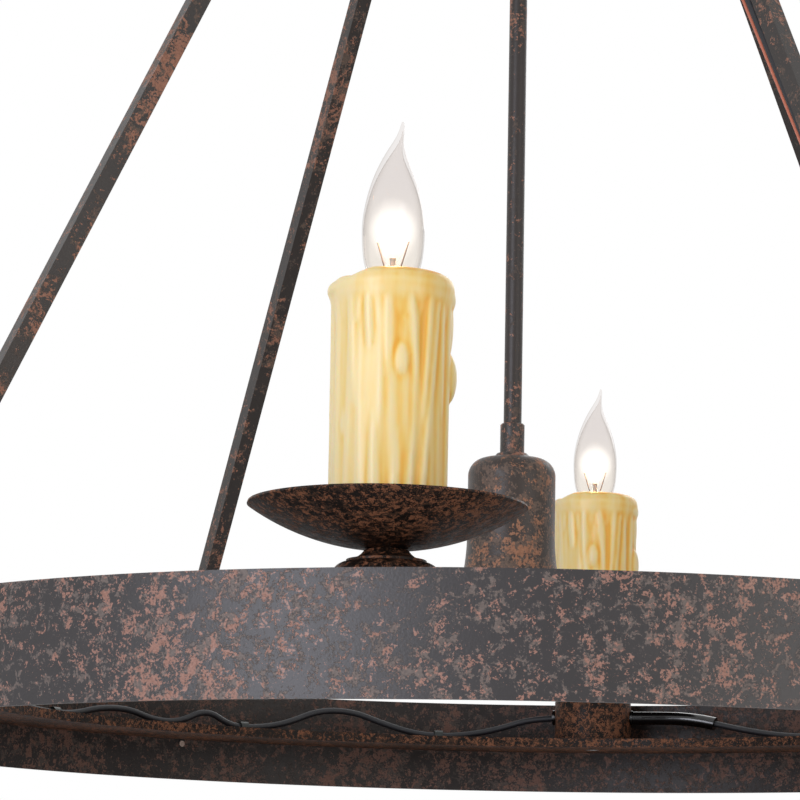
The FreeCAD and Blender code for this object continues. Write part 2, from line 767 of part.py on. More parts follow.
def crossbar_strap():
    """Flat bar with a slot near each end for the ceiling box's screws."""
    bar = Part.makeBox(strap_length, strap_width, strap_thickness,
                       Vector(-strap_length / 2, -strap_width / 2, -strap_thickness))
    upright = [edge for edge in bar.Edges if edge.BoundBox.ZLength > strap_thickness / 2]
    bar = bar.makeFillet(strap_width / 2 - 0.5, upright)
    bar = bar.cut(cylinder(nipple_r + thread_gap, -strap_thickness - 1, 1))
    half_run = (slot_length - slot_width) / 2
    for side in (-1, 1):
        middle = side * slot_spacing / 2
        slot = Part.makeBox(2 * half_run, slot_width, strap_thickness + 2,
                            Vector(middle - half_run, -slot_width / 2, -strap_thickness - 1))
        for end in (-1, 1):
            slot = slot.fuse(Part.makeCylinder(slot_width / 2, strap_thickness + 2,
                                               Vector(middle + end * half_run, 0, -strap_thickness - 1)))
        bar = bar.cut(slot)
    return bar


def strap_nipple():
    return tube(nipple_r, nipple_r - 1.6, -strap_nipple_length, 0)


def strap_nut():
    top = -strap_thickness - seat_gap
    return hexagon(nut_across_flats, top - nut_height, top, nipple_r + thread_gap)


# ---------------------------------------------------------------- cords
cord_strut_azimuth = step_angle / 2
cord_exit_r = 14.6
ground_exit_r = 9.6
cord_rest = ledge_top + cord_r + 0.15

# one length of ring cord: degrees past the cup that it leaves, out from the candle circle, rise
ring_cord_route = ((11.0, 4.75, 5.0), (15.3, 3.75, 0.1), (19.4, 2.25, 0.1), (23.4, 3.25, 7.0),
                   (27.0, 4.25, 15.6), (31.0, 3.25, 15.4), (34.8, 1.25, 4.6), (38.6, -0.25, 0.1),
                   (41.8, -0.75, 0.2), (44.9, -1.25, 11.2), (48.3, -0.75, 0.4), (51.6, 0.25, 1.0),
                   (54.8, 1.25, 7.2), (58.6, 2.25, 6.6), (62.4, 3.75, 0.1), (67.4, 5.25, 0.1),
                   (73.0, 7.15, 6.6))
cord_end_inside = 11.7    # from the cup's axis to the end of a cord
cord_leaves = 43.0        # straight out of a cup to the first bend
cord_arrives = 72.0       # from the last bend straight into a cup
clip_indexes = (1, 7, 14) # the runs of the route that a clip holds

# how much each length differs from the one the photograph shows: share of its rise
ring_cord_rises = (0.85, 1.0, 1.1)

# supply cord, down its strut: share of the slanted run, gap from the bar's lower face, sideways
supply_on_strut = ((0.946, 0.3, 0.0), (0.883, 0.4, 0.6), (0.730, 0.3, -0.8), (0.578, 0.3, 0.4),
                   (0.514, 0.4, -1.0), (0.477, 0.6, -4.4), (0.431, 0.5, -3.0), (0.298, 0.3, 0.6),
                   (0.145, 0.4, -0.5), (0.059, 1.2, 0.0))
# from the strut's foot along the ledge: degrees past the strut, out from the candle circle, rise
supply_on_ledge = ((0.6, 20.75, 47.0), (2.2, 23.75, 20.0), (5.6, 18.75, 3.0), (10.6, 11.75, 0.2),
                   (16.2, 7.75, 0.1), (22.4, 6.95, 0.1), (28.0, 7.35, 6.0))
supply_clip_index = 4
ground_end_azimuth = cord_strut_azimuth + 1.6
ground_end_out = 14.75        # from the candle circle to the wire's hole in the ledge
ground_end_r = candle_circle_r + ground_end_out
tie_shares = (0.883, 0.679, 0.477, 0.285, 0.107)
tie_sideways = (0.0, 0.0, -4.4, 0.0, 0.0)


def height_on_strut(share):
    """Height at a share of the slanted run, from its lower bend to its upper one."""
    return strut_low_bend + share * (strut_high_bend - strut_low_bend)


def beside_strut(height, below, sideways):
    """Point under the slanted bar: its place along the bar, distance below its axis, and sideways."""
    radius = strut_foot_r - (height - strut_low_bend) * strut_slope
    radius -= below * math.cos(strut_tilt)
    rise = height - below * math.sin(strut_tilt)
    point = Vector(sideways, -radius, rise)
    return turned_point(point, cord_strut_azimuth)


def turned_point(point, azimuth):
    angle = math.radians(azimuth)
    return Vector(point.x * math.cos(angle) - point.y * math.sin(angle),
                  point.x * math.sin(angle) + point.y * math.cos(angle), point.z)


def from_cup(azimuth, along):
    """Point on the line through a cup's side holes, along it from the cup's axis."""
    return turned_point(Vector(along, -candle_circle_r, cup_hole_z), azimuth)


def beside_circle(azimuth, outward, rise):
    """Point out from the candle circle and above a cord that lies on the ledge."""
    return polar(azimuth, candle_circle_r + outward, cord_rest + rise)


def into_cup(azimuth):
    """The last two points of a cord that enters a cup."""
    return [from_cup(azimuth, -cord_arrives), from_cup(azimuth, -cord_end_inside)]


def ring_cords():
    """Lengths of cord between the cups, and the sleeve at the end of each."""
    cords = []
    sleeves = []
    for index, rise_share in enumerate(ring_cord_rises):
        start = (index + 1) * step_angle
        points = [from_cup(start, cord_end_inside), from_cup(start, cord_leaves)]
        for past, outward, rise in ring_cord_route:
            points.append(beside_circle(start + past, outward, rise * rise_share))
        points += into_cup(start + step_angle)
        solid, edges = cord(f"ring cord {index + 1}", points, cord_r)
        cords.append(solid)
        sleeves.append(cup_sleeve(edges))
    return cords, sleeves


def cup_sleeve(edges):
    """Sleeve over a cord's last bend and run, up to the bushing of the cup that it enters."""
    run = edges[-1]
    start = run.valueAt(run.FirstParameter)
    end = run.valueAt(run.LastParameter)
    inside_cup = cup_r + seat_gap + bushing_flange + seat_gap - cord_end_inside
    stop = end + (start - end).normalize() * inside_cup
    path = [edges[-2], Part.LineSegment(start, stop).toShape()]
    return swept_round(path, sleeve_r).cut(swept_round(path, cord_r + seat_gap / 2))


def supply_cord():
    points = [polar(cord_strut_azimuth, cord_exit_r, hub_bottom + hub_floor + 4),
              polar(cord_strut_azimuth, cord_exit_r + 0.4, hub_bottom - 12)]
    for share, gap, sideways in supply_on_strut:
        points.append(beside_strut(height_on_strut(share), strut_size / 2 + gap + cord_r, sideways))
    for past, outward, rise in supply_on_ledge:
        points.append(beside_circle(cord_strut_azimuth + past, outward, rise))
    points += into_cup(step_angle)
    return cord("supply cord", points, cord_r)


def ground_wire():
    points = [polar(cord_strut_azimuth, ground_exit_r, hub_bottom + hub_floor + 4),
              polar(cord_strut_azimuth, ground_exit_r + 0.3, hub_bottom - 16)]
    for share, gap, sideways in supply_on_strut:
        below = strut_size / 2 + gap + 2 * cord_r + 0.3 + ground_wire_r
        points.append(beside_strut(height_on_strut(share), below, sideways))
    points.append(polar(ground_end_azimuth, ground_end_r - 1, ledge_top + 32))
    points.append(polar(ground_end_azimuth, ground_end_r, ledge_bottom + 0.5))
    solid, _ = cord("ground wire", points, ground_wire_r)
    return solid


def cord_clip():
    """Saddle clip on the ledge, drawn on the Z axis with the cord along X."""
    hollow_r = cord_r + 0.5
    outer_r = hollow_r + clip_wall
    middle = cord_rest
    foot_half = outer_r + clip_foot
    outline = section((-foot_half, ledge_top), (foot_half, ledge_top), (foot_half, ledge_top + clip_wall),
                      (outer_r, ledge_top + clip_wall), (outer_r, middle),
                      ((0, middle + outer_r), (-outer_r, middle)), (-outer_r, ledge_top + clip_wall),
                      (-foot_half, ledge_top + clip_wall))
    clip = outline.extrude(Vector(0, clip_width, 0))
    bore = Part.makeCylinder(hollow_r, 3 * clip_width, Vector(0, -clip_width, middle), Vector(0, 1, 0))
    below = Part.makeBox(2 * hollow_r, 3 * clip_width, middle - ledge_top + 1,
                         Vector(-hollow_r, -clip_width, ledge_top - 1))
    clip = clip.cut(bore).cut(below)
    clip.translate(Vector(0, -clip_width / 2, 0))
    clip.rotate(Vector(0, 0, 0), UP, 90)
    return clip


def clip_on_run(clip, start_azimuth, route, run):
    """Copy of the clip at the middle of a run that lies on the ledge, turned along it."""
    first, last = [polar(start_azimuth + past, candle_circle_r + outward, 0)
                   for past, outward, _ in route[run:run + 2]]
    heading = math.degrees(math.atan2(last.y - first.y, last.x - first.x))
    placed = turn_to(clip, heading)
    placed.translate((first + last) * 0.5)
    return placed


def strut_tie(height, sideways):
    """Flat tie round the bar, the cord and the ground wire."""
    edge = strut_size / 2 + 0.2
    tip = strut_size / 2 + 2 * cord_r + 2 * ground_wire_r + 1.4
    tip_half = cord_r + 0.9
    inner = [(-edge, -edge), (edge, -edge), (edge, edge), (tip_half + sideways, tip),
             (-tip_half + sideways, tip), (-edge + min(sideways, 0), edge)]
    inner_face = tie_face(inner)
    outer_face = inner_face.makeOffset2D(tie_thickness)
    loop = outer_face.cut(inner_face).extrude(Vector(0, 0, tie_width))
    head = Part.makeBox(tie_head, tie_head, tie_width + 0.8,
                        Vector(-tie_head / 2, -edge - tie_thickness - tie_head, -0.4))
    loop = loop.fuse(head)
    loop.translate(Vector(0, 0, -tie_width / 2))
    loop.rotate(Vector(0, 0, 0), Vector(1, 0, 0), -math.degrees(strut_tilt))
    radius = strut_foot_r - (height - strut_low_bend) * strut_slope
    loop.translate(Vector(0, -radius, height))
    return turn_to(loop, cord_strut_azimuth)


def tie_face(corners):
    points = [Vector(x, y, 0) for x, y in corners]
    return Part.Face(Part.makePolygon(points + points[:1]))


def cord_ties():
    """Clips along the ledge and ties along the strut."""
    clip = cord_clip()
    solids = []
    for index in range(len(ring_cord_rises)):
        for run in clip_indexes:
            solids.append(clip_on_run(clip, (index + 1) * step_angle, ring_cord_route, run))
    solids.append(clip_on_run(clip, cord_strut_azimuth, supply_on_ledge, supply_clip_index))
    for share, sideways in zip(tie_shares, tie_sideways):
        solids.append(strut_tie(height_on_strut(share), sideways))
    return group(solids)


# ---------------------------------------------------------------- writing the pieces
def save(name, shape, lowered=False):
    """Write one piece, lowered from the band's heights to the ceiling's when asked."""
    piece = shape.copy()
    if lowered:
        piece.translate(Vector(0, 0, -overall_drop))
    if not piece.isValid() or piece.Volume <= 0:
        print("check", name, piece.isValid(), piece.Volume)
    piece.exportStep(f"parts/{name}.step")


def main():
    os.makedirs("parts", exist_ok=True)
    save("crossbar_strap", crossbar_strap())
    save("strap_nipple", strap_nipple())
    save("strap_nut", strap_nut())
    save("canopy", canopy())
    save("collar_ring", collar_ring())
    save("canopy_loop", canopy_loop())
    save("chain_link", chain_link())
    save("hub_loop", hub_loop(), True)
    save("hub_body", hub_body(), True)
    bar = strut()
    for index, azimuth in enumerate(strut_azimuths(), 1):
        save(f"strut_{index}", turn_to(bar, azimuth), True)
    save("strut_screws", strut_screws(), True)
    save("outer_band", outer_band(), True)
    save("ledge_ring", ledge_ring(), True)
    bushings = []
    for index, azimuth in enumerate(candle_azimuths()):
        number = index + 1
        sides = cord_sides(index)
        save(f"candle_cup_{number}", to_station(candle_cup(sides), azimuth), True)
        bushings += [to_station(cup_bushing(side), azimuth) for side in sides]
        save(f"drip_pan_{number}", to_station(drip_pan(), azimuth), True)
        save(f"candle_cover_{number}", to_station(candle_cover(), azimuth), True)
        save(f"candle_socket_{number}", to_station(candle_socket(), azimuth), True)
        lamp_turn = lamp_turn_azimuths[index]
        save(f"bulb_base_{number}", to_station(turn_to(lamp_base(), lamp_turn), azimuth), True)
        save(f"bulb_glass_{number}", to_station(turn_to(lamp_glass(), lamp_turn), azimuth), True)
        save(f"bulb_filament_{number}", to_station(turn_to(lamp_filament(), lamp_turn), azimuth), True)
    save("cup_bushings", group(bushings), True)
    save("cup_caps", group([to_station(cup_cap(), azimuth) for azimuth in candle_azimuths()]), True)
    save("candle_nipples", group([to_station(candle_nipple(), azimuth) for azimuth in candle_azimuths()]),
         True)
    save("nipple_nuts", group([to_station(nipple_nut(), azimuth) for azimuth in candle_azimuths()]), True)
    save("stem_tube", stem_tube(), True)
    save("stem_coupling", stem_coupling(), True)
    save("stem_washer", stem_washer(), True)
    save("bell_shade", bell_shade(), True)
    save("downlight_holder", downlight_holder(), True)
    save("downlight_lamp", downlight_lamp(), True)
    save("downlight_lens", downlight_lens(), True)
    supply, supply_edges = supply_cord()
    cords, sleeves = ring_cords()
    sleeves.append(cup_sleeve(supply_edges))
    save("ring_cords", group(cords), True)
    save("supply_cord", supply, True)
    save("ground_wire", ground_wire(), True)
    save("wire_sleeves", group(sleeves), True)
    save("cord_ties", cord_ties(), True)
    print(f"overall drop {overall_drop:.2f} mm")
    print(f"upper hinge at {upper_hang_z:.2f} mm, lower hinge at {lower_hang_z:.2f} mm")


main()
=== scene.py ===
# %% [markdown]
# # A ring chandelier with candle lamps
# The chandelier hangs from a ceiling plate on one link. Four square bars carry a wide steel band, and
# four lamps that look like thick candles stand on a ledge inside the band. The metal parts come
# ready-made from the construction model, at their true size and place, in metres. This lesson lights
# them, gives each a finish, and models what needs a softer hand: wax runs, cords and glass.

# %% Load the construction model
import bpy, json, math, random
from mathutils import Matrix, Vector


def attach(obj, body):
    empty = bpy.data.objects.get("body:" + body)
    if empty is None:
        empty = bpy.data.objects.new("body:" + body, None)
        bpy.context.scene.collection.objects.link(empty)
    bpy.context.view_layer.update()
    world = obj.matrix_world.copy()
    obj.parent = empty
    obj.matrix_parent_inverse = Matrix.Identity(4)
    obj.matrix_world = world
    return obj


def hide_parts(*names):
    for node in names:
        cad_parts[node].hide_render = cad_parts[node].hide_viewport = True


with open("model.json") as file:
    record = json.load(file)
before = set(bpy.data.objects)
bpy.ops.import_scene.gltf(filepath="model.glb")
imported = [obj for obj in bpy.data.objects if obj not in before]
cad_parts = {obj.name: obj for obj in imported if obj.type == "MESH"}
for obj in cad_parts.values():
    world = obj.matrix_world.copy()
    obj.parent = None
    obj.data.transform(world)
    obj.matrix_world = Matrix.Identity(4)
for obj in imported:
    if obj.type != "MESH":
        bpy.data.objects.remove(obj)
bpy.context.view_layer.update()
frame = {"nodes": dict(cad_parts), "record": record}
mm = 0.001
# the band's lower edge hangs this far below the ceiling, in mm
drop = 1031.67
# the four lamps stand on a circle of this radius, in mm
candle_circle = 371.25


def above_band(height):
    """Turns a height in mm above the band's lower edge into a place below the ceiling, in metres."""
    return (height - drop) * mm


def around(azimuth, radius, height):
    """A point at an azimuth in degrees, with a radius and a height above the band's edge in mm."""
    angle = math.radians(azimuth)
    return Vector((radius * math.sin(angle) * mm, -radius * math.cos(angle) * mm, above_band(height)))


# %% [markdown]
# ## The camera
# The photographer stood near the floor, nearly two metres from the chandelier's middle, and looked
# up a little with a long lens. A long lens keeps the bars almost parallel and the band almost flat. The
# camera is turned through three angles: its heading, its tilt upwards and a slight roll.

# %% Place the camera
bpy.ops.object.camera_add()
camera = bpy.context.object
camera.name = "studio_camera"
camera.data.sensor_width = 36
camera.data.lens = 137.5
camera.data.clip_start = 0.05
camera.data.clip_end = 60
bpy.context.scene.camera = camera
bpy.context.scene.view_settings.view_transform = "Standard"

stand = around(9.52, 1866, -120.8)
heading = math.radians(-11.67)
tilt = math.radians(10.30)
roll = math.radians(1.2)

forward = Vector((math.sin(heading) * math.cos(tilt), math.cos(heading) * math.cos(tilt), math.sin(tilt)))
level = Vector((math.cos(heading), -math.sin(heading), 0))
upright = level.cross(forward)
camera_x = math.cos(roll) * level + math.sin(roll) * upright
camera_y = math.cos(roll) * upright - math.sin(roll) * level
turn = Matrix((camera_x, camera_y, -forward)).transposed().to_4x4()
camera.matrix_world = Matrix.Translation(stand) @ turn
print("camera at", [round(value, 3) for value in stand])

# %% [markdown]
# ## Three small helpers
# Paint is given as a hex colour, which Blender wants in linear light, so one function turns it. A
# second one adds a node to a material, sets it and links it, which keeps each recipe short. A third
# starts an empty material.

# %% Colour and node helpers
# a colour mix is fed through these sockets, because several of its sockets share a name
mix_share, mix_first, mix_second = 0, 6, 7
mixed_colour = 2


def linear(hex_colour):
    """sRGB hex colour as linear red, green, blue and alpha."""
    parts = [int(hex_colour[index:index + 2], 16) / 255 for index in (1, 3, 5)]
    return [part / 12.92 if part <= 0.04045 else ((part + 0.055) / 1.055) ** 2.4 for part in parts] + [1]


def add(tree, kind, inputs=None, stops=None, **settings):
    """Adds a node. Inputs take a value or another node's output; stops are a ramp's (place, hex) pairs."""
    node = tree.nodes.new("ShaderNode" + kind)
    for name, value in settings.items():
        setattr(node, name, value)
    for socket, value in (inputs or {}).items():
        if isinstance(value, bpy.types.NodeSocket):
            tree.links.new(value, node.inputs[socket])
        else:
            node.inputs[socket].default_value = value
    for index, (place, colour) in enumerate(stops or []):
        if index < len(node.color_ramp.elements):
            element = node.color_ramp.elements[index]
            element.position = place
        else:
            element = node.color_ramp.elements.new(place)
        element.color = linear(colour)
    return node


def new_material(name):
    """An empty node material and its tree."""
    material = bpy.data.materials.new(name)
    material.use_nodes = True
    material.node_tree.nodes.clear()
    return material, material.node_tree


print("mid grey #808080 is", round(linear("#808080")[0], 3), "in linear light")

# %% [markdown]
# ## The room
# Product photographs of dark metal are taken in a white room, because metal shows what stands
# around it. The world is white where the camera, a reflection or clear glass looks at it, and gives a
# softer, even light otherwise. The floor is as far below the ceiling as in a room, and is seen from above
# only, so that a view from below isn't blocked.

# %% World and floor
world = bpy.data.worlds.new("white_room")
bpy.context.scene.world = world
world.use_nodes = True
tree = world.node_tree
tree.nodes.clear()
path = add(tree, "LightPath").outputs
seen = add(tree, "Math", {0: path["Is Camera Ray"], 1: path["Is Glossy Ray"]}, operation="MAXIMUM")
seen = add(tree, "Math", {0: seen.outputs[0], 1: path["Is Transmission Ray"]}, operation="MAXIMUM")
soft = add(tree, "Background", {"Color": linear("#F6F7FB"), "Strength": 0.45})
white = add(tree, "Background", {"Color": (1, 1, 1, 1), "Strength": 1.0})
room = add(tree, "MixShader", {0: seen.outputs[0], 1: soft.outputs[0], 2: white.outputs[0]})
add(tree, "OutputWorld", {"Surface": room.outputs[0]})

floor_height = -2.7
bpy.ops.object.select_all(action="DESELECT")
bpy.ops.mesh.primitive_plane_add(size=26, location=(0, 0, floor_height))
floor = bpy.context.object
floor.name = "pale_floor"
floor_material, tree = new_material("pale_floor_paint")
place = add(tree, "TexCoord").outputs["Object"]
wear = add(tree, "TexNoise", {"Vector": place, "Scale": 0.7, "Detail": 3.0})
tone = add(tree, "ValToRGB", {"Fac": wear.outputs["Fac"]}, stops=((0.3, "#EDEBE8"), (0.7, "#F3F1EE")))
paint = add(tree, "BsdfDiffuse", {"Color": tone.outputs["Color"]})
clear = add(tree, "BsdfTransparent")
side = add(tree, "NewGeometry")
floor_mix = add(tree, "MixShader", {0: side.outputs["Backfacing"], 1: paint.outputs[0], 2: clear.outputs[0]})
add(tree, "OutputMaterial", {"Surface": floor_mix.outputs[0]})
floor.data.materials.append(floor_material)
print("the floor lies", -floor_height, "m below the ceiling")

# %% [markdown]
# ## The lamps of the studio
# One large soft box beside the camera, on its left, gives the band its cool sheen. A weaker one fills
# from the right and a third lights from above and behind. Their size keeps shadows soft, and their power
# keeps a colour about as bright as it is written.

# %% Soft boxes
def soft_box(name, place, target, width, height, power, colour):
    """A rectangular lamp at a place, turned to its target."""
    bpy.ops.object.light_add(type="AREA", location=place)
    lamp = bpy.context.object
    lamp.name = name
    lamp.data.shape = "RECTANGLE"
    lamp.data.size = width
    lamp.data.size_y = height
    lamp.data.energy = power
    lamp.data.color = linear(colour)[:3]
    lamp.rotation_mode = "QUATERNION"
    lamp.rotation_quaternion = (Vector(target) - Vector(place)).to_track_quat("-Z", "Y")


middle = (0, 0, -0.85)
soft_box("soft_box_left", (-1.13, -2.67, -0.72), middle, 1.3, 1.6, 40, "#F0F2FF")
soft_box("soft_box_right", (2.5, -1.9, -0.9), middle, 1.5, 1.8, 19, "#FFFAF4")
soft_box("soft_box_back", (0.6, 2.4, 0.5), middle, 2.2, 1.2, 14, "#FFFFFF")
print("three soft boxes light the middle of the chandelier")

# %% [markdown]
# ## Sponged bronze paint
# The metal is steel, sprayed with a satin black-brown paint that has a slight orange peel. Taupe and
# copper paint are then dabbed over it with a sea sponge, which leaves ragged flakes of 2 to 8 mm. Fractal
# noise has just that: patches with ever finer edges. Taupe is dabbed first, and copper covers part of
# it. The pans and cups get a denser, finer dab on a darker ground, which is partly painted shade of
# their undersides, and the stem a sparse one. The inside of the band is painted darker and browner,
# with less sheen, as painted shade.

# %% Bronze paint
def sponged_paint(name, ground, taupe, copper, flake_mm, taupe_cut, copper_cut, sheen,
                  uneven=0.5, drift_shift=0.0, shade_inside_radius=None):
    """Dark ground with taupe and copper flakes. A higher cut leaves fewer flakes of that colour."""
    material, tree = new_material(name)
    place = add(tree, "TexCoord").outputs["Object"]
    # each field is fractal noise, and its patches are about half as wide as the size in mm
    field = {}
    for part, size_mm, detail, shift, distortion in (
            ("drift", 65, 2.0, drift_shift, 0.0), ("grit", flake_mm / 6, 4.0, 0.0, 0.0),
            ("taupe", flake_mm, 6.0, 0.31, 0.5), ("copper", flake_mm * 0.7, 6.0, 0.57, 0.5),
            ("peel", 1.6, 3.0, 0.0, 0.0)):
        moved = add(tree, "Mapping", {"Vector": place, "Location": (shift, 0.7 * shift, 0.4 * shift)})
        noise = add(tree, "TexNoise", {"Vector": moved.outputs[0], "Scale": 1 / (size_mm * mm),
                                       "Detail": detail, "Roughness": 0.7, "Distortion": distortion})
        field[part] = noise.outputs["Fac"]
    # the grit eats into the flakes, and the drift leaves some stretches nearly bare
    bias = add(tree, "Math", {0: field["drift"], 1: uneven, 2: -0.5 * uneven}, operation="MULTIPLY_ADD")
    bias = add(tree, "Math", {0: field["grit"], 1: 0.45, 2: bias.outputs[0]}, operation="MULTIPLY_ADD")
    first = add(tree, "Math", {0: field["taupe"], 1: bias.outputs[0]})
    taupe_mask = add(tree, "MapRange", {"Value": first.outputs[0], "From Min": taupe_cut,
                                        "From Max": taupe_cut + 0.05}).outputs[0]
    second = add(tree, "Math", {0: field["copper"], 1: bias.outputs[0]})
    second = add(tree, "Math", {0: taupe_mask, 1: 0.05, 2: second.outputs[0]}, operation="MULTIPLY_ADD")
    copper_mask = add(tree, "MapRange", {"Value": second.outputs[0], "From Min": copper_cut,
                                         "From Max": copper_cut + 0.022}).outputs[0]
    # each colour has a lighter and a darker shade
    base = add(tree, "ValToRGB", {"Fac": field["drift"]}, stops=((0.3, ground[0]), (0.7, ground[1])))
    veil = add(tree, "ValToRGB", {"Fac": field["grit"]}, stops=((0.35, taupe[0]), (0.65, taupe[1])))
    dab = add(tree, "ValToRGB", {"Fac": field["grit"]}, stops=((0.35, copper[0]), (0.65, copper[1])))
    coat = add(tree, "Mix", {mix_share: taupe_mask, mix_first: base.outputs["Color"],
                             mix_second: veil.outputs["Color"]}, data_type="RGBA")
    coat = add(tree, "Mix", {mix_share: copper_mask, mix_first: coat.outputs[mixed_colour],
                             mix_second: dab.outputs["Color"]}, data_type="RGBA")
    coat = coat.outputs[mixed_colour]
    # the thick dabs stand up from the orange peel, and shine less
    height = add(tree, "Math", {0: taupe_mask, 1: 0.5, 2: field["peel"]}, operation="MULTIPLY_ADD")
    relief = add(tree, "Bump", {"Height": height.outputs[0], "Strength": 0.6, "Distance": 0.25 * mm})
    rough = add(tree, "MapRange", {"Value": taupe_mask, "To Min": 0.40, "To Max": 0.56})
    skin = add(tree, "BsdfPrincipled", {"Base Color": coat, "Roughness": rough.outputs[0],
                                        "Normal": relief.outputs[0], "Specular IOR Level": sheen})
    # painted shade: inside the given radius the coat is mixed towards dark brown and its sheen is lowered
    if shade_inside_radius:
        flat = add(tree, "Mapping", {"Vector": place, "Scale": (1, 1, 0)})
        radius = add(tree, "VectorMath", {0: flat.outputs[0]}, operation="LENGTH")
        inside = add(tree, "MapRange", {"Value": radius.outputs["Value"], "From Min": (shade_inside_radius - 1) * mm,
                                        "From Max": shade_inside_radius * mm, "To Min": 1.0, "To Max": 0.0})
        shade_share = add(tree, "Math", {0: inside.outputs[0], 1: 0.6}, operation="MULTIPLY")
        shaded_coat = add(tree, "Mix", {mix_share: shade_share.outputs[0], mix_first: coat,
                                 mix_second: linear("#1F1611")}, data_type="RGBA")
        shaded_sheen = add(tree, "MapRange", {"Value": inside.outputs[0], "To Min": sheen, "To Max": 0.28})
        tree.links.new(shaded_coat.outputs[mixed_colour], skin.inputs["Base Color"])
        tree.links.new(shaded_sheen.outputs[0], skin.inputs["Specular IOR Level"])
    add(tree, "OutputMaterial", {"Surface": skin.outputs[0]})
    return material


copper_tones = ("#7C523F", "#9C6D57")
bronze = sponged_paint("sponged_bronze_paint", ("#302A27", "#27211E"), ("#4C3D34", "#5E4E43"), copper_tones,
                       8, 0.765, 0.825, 0.45)
# the band's inner face gets painted shade, darker, browner and with less sheen, inside a radius of 406 mm
band_bronze = sponged_paint("sponged_band_paint", ("#2E2A2B", "#262323"), ("#5A4E48", "#6F635C"),
                            ("#855D4C", "#A3796A"), 7.5, 0.742, 0.806, 0.52,
                            uneven=0.3, drift_shift=2.1, shade_inside_radius=406.0)
bell_bronze = sponged_paint("dense_bell_paint", ("#3A302A", "#2D2521"), ("#54443A", "#6A584C"),
                            ("#80563F", "#A07256"), 9, 0.728, 0.828, 0.4, uneven=0.3)
# pans, cups, caps and ledge: a denser, finer dab on a much darker ground, which is partly painted shade of
# their undersides
shaded_pan_bronze = sponged_paint("dense_shaded_pan_paint", ("#18120F", "#120D0A"), ("#38271D", "#463226"),
                           ("#6A442F", "#84573F"), 4.5, 0.725, 0.785, 0.14, uneven=0.12)
stem_bronze = sponged_paint("sparse_stem_paint", ("#332C29", "#2A2421"), ("#463932", "#54473E"), copper_tones,
                            9, 0.80, 0.868, 0.4)
print("mixed", bronze.name, band_bronze.name, bell_bronze.name, shaded_pan_bronze.name, stem_bronze.name)

# %% [markdown]
# ## The other finishes
# The rest are everyday materials: zinc plated steel, black moulded phenolic, nickel, a mirror coat,
# rubber, vinyl and nylon. Each one has a small pattern of its own, because even a plain black cord
# has a fine grain, and plated steel has faint marks from its rolling.

# %% Plated steel and plain plastics
def grained(name, first, second, grain_mm, roughness, metallic=0.0, coat=0.0, stretch=(1, 1, 1)):
    """Material with two close tones in a fine noise and a slight relief."""
    material, tree = new_material(name)
    place = add(tree, "TexCoord").outputs["Object"]
    shaped = add(tree, "Mapping", {"Vector": place, "Scale": stretch})
    grain = add(tree, "TexNoise", {"Vector": shaped.outputs[0], "Scale": 1 / (grain_mm * mm),
                                   "Detail": 4.0, "Roughness": 0.6}).outputs["Fac"]
    tone = add(tree, "ValToRGB", {"Fac": grain}, stops=((0.35, first), (0.65, second)))
    gloss = add(tree, "MapRange", {"Value": grain, "To Min": roughness - 0.07, "To Max": roughness + 0.07})
    relief = add(tree, "Bump", {"Height": grain, "Strength": 0.3, "Distance": 0.05 * mm})
    skin = add(tree, "BsdfPrincipled", {"Base Color": tone.outputs["Color"], "Roughness": gloss.outputs[0],
                                        "Normal": relief.outputs[0], "Metallic": metallic,
                                        "Coat Weight": coat})
    add(tree, "OutputMaterial", {"Surface": skin.outputs[0]})
    return material


zinc = grained("zinc_plated_steel", "#B9B7B2", "#CBCAC6", 1.2, 0.34, metallic=1.0, stretch=(1, 6, 1))
screw_zinc = grained("plated_screw_steel", "#A79186", "#B8A69C", 0.6, 0.38, metallic=0.8)
phenolic = grained("black_phenolic", "#15130F", "#1D1B18", 0.9, 0.45)
nickel = grained("rolled_nickel", "#BDB8AE", "#CFCBC2", 0.8, 0.28, metallic=1.0, stretch=(1, 1, 5))
reflector = grained("coated_reflector", "#B9B9B6", "#D6D5D1", 3.0, 0.22, metallic=1.0)
jacket = grained("dull_black_jacket", "#14151A", "#1E1F24", 0.5, 0.55)
salmon_jacket = grained("salmon_ground_jacket", "#C0694F", "#D07C60", 0.6, 0.45)
vinyl = grained("glossy_black_vinyl", "#050506", "#0B0B0D", 1.5, 0.14, coat=0.3)
tie_plastic = grained("black_tie_nylon", "#0D1210", "#16201D", 0.7, 0.4)
bush_plastic = grained("glossy_bush_nylon", "#070708", "#101012", 0.8, 0.18, coat=0.2)
print("mixed ten plain finishes")
